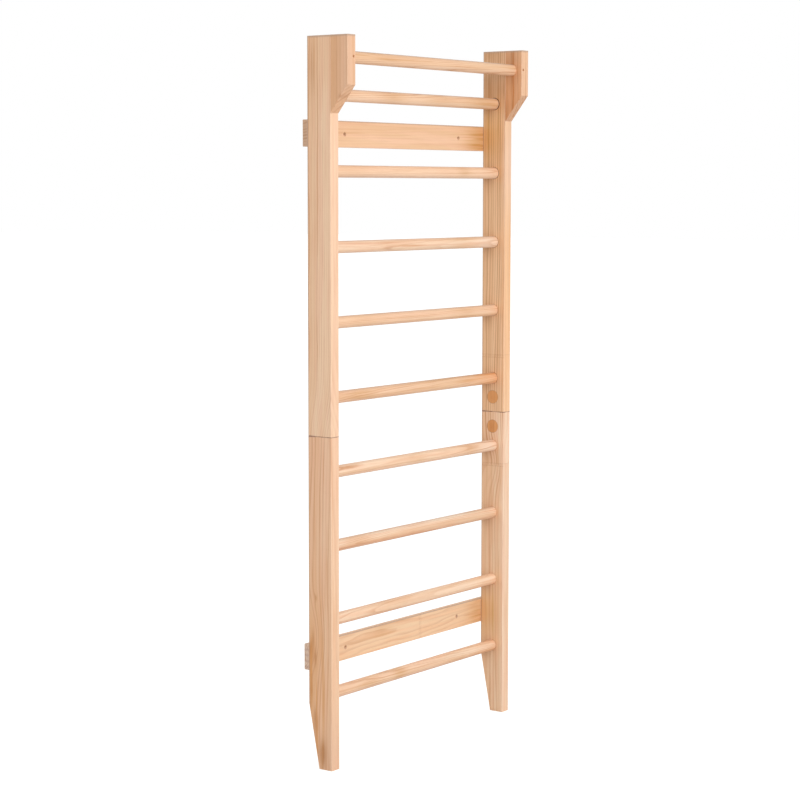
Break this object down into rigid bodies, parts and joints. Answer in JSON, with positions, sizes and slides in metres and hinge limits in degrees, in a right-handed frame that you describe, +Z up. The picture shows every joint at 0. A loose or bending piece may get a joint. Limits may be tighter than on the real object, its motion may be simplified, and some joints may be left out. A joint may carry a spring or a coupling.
{
  "type": "wall bars",
  "caption": "Tall pine climbing frame for a wall: two spliced side posts with forward head blocks, round rungs between them and rails behind that screw to the wall.",
  "frame": {"origin": "on the floor, midway between the posts and midway from the head blocks' front face to the wall plane", "axes": "+X along the rungs, +Y from the climber towards the wall, +Z up"},
  "size_m": [0.96, 0.169, 2.2],
  "materials": {
    "pine": "clear satin varnish",
    "pine_head": "clear satin varnish",
    "plug_wood": "clear satin varnish",
    "dowel_beech": "raw",
    "zinc_steel": "zinc plated"
  },
  "bodies": {
    "root": {"left_post_lower": "pine", "left_post_upper": "pine", "left_head_block": "pine_head", "left_splice_washer_lower": "zinc_steel", "left_splice_plug_lower": "plug_wood", "left_splice_washer_upper": "zinc_steel", "left_splice_plug_upper": "plug_wood", "left_splice_dowel_front": "dowel_beech", "left_splice_dowel_back": "dowel_beech", "left_splice_bolt": "zinc_steel", "left_splice_nut": "zinc_steel", "left_head_dowel_upper": "dowel_beech", "left_head_dowel_lower": "dowel_beech", "left_lower_rail_screw_low": "zinc_steel", "left_lower_rail_screw_high": "zinc_steel", "left_upper_rail_screw_low": "zinc_steel", "left_upper_rail_screw_high": "zinc_steel", "left_top_rung_screw": "zinc_steel", "right_post_lower": "pine", "right_post_upper": "pine", "right_head_block": "pine_head", "right_splice_washer_lower": "zinc_steel", "right_splice_plug_lower": "plug_wood", "right_splice_washer_upper": "zinc_steel", "right_splice_plug_upper": "plug_wood", "right_splice_dowel_front": "dowel_beech", "right_splice_dowel_back": "dowel_beech", "right_splice_bolt": "zinc_steel", "right_splice_nut": "zinc_steel", "right_head_dowel_upper": "dowel_beech", "right_head_dowel_lower": "dowel_beech", "right_lower_rail_screw_low": "zinc_steel", "right_lower_rail_screw_high": "zinc_steel", "right_upper_rail_screw_low": "zinc_steel", "right_upper_rail_screw_high": "zinc_steel", "right_top_rung_screw": "zinc_steel", "rung_01": "pine", "rung_02": "pine", "rung_03": "pine", "rung_04": "pine", "rung_05": "pine", "rung_06": "pine", "rung_07": "pine", "rung_08": "pine", "rung_09": "pine", "rung_10": "pine", "upper_wall_rail": "pine", "lower_wall_rail": "pine"}
  },
  "joints": []
}
